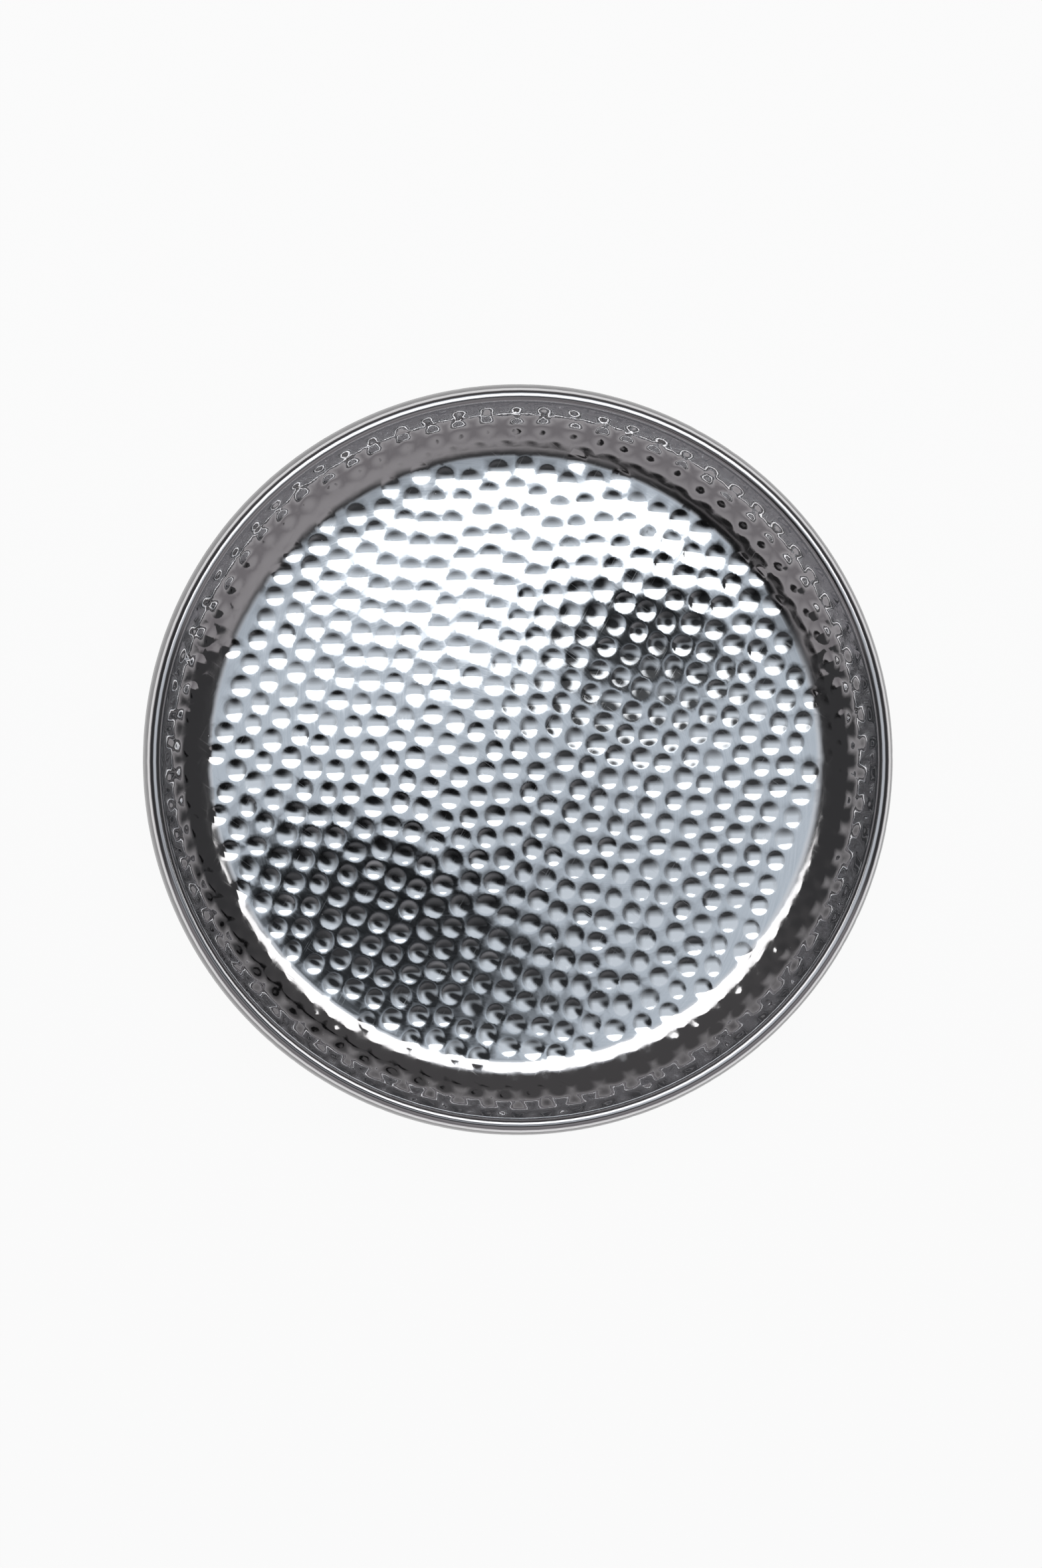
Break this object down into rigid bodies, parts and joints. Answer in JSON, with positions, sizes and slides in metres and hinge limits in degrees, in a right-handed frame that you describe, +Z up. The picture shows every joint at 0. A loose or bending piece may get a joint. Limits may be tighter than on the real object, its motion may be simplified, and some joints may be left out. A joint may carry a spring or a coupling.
{
  "type": "decorative tray",
  "caption": "Round hammered steel tray with a flat floor, a bowed wall and a smooth wired bead along the rim.",
  "frame": {"origin": "middle of the underside that the tray rests on", "axes": "+Z up out of the tray, square to its floor; +Y towards the top of the picture, +X to its right"},
  "size_m": [0.3048, 0.3048, 0.047],
  "materials": {
    "hammered_steel": "hammered, satin floor and polished wall",
    "polished_steel": "smooth polished",
    "wire_steel": "plain drawn wire"
  },
  "bodies": {
    "root": {"hammered_pan": "hammered_steel", "rim_bead": "polished_steel", "rim_wire": "wire_steel"}
  },
  "joints": []
}
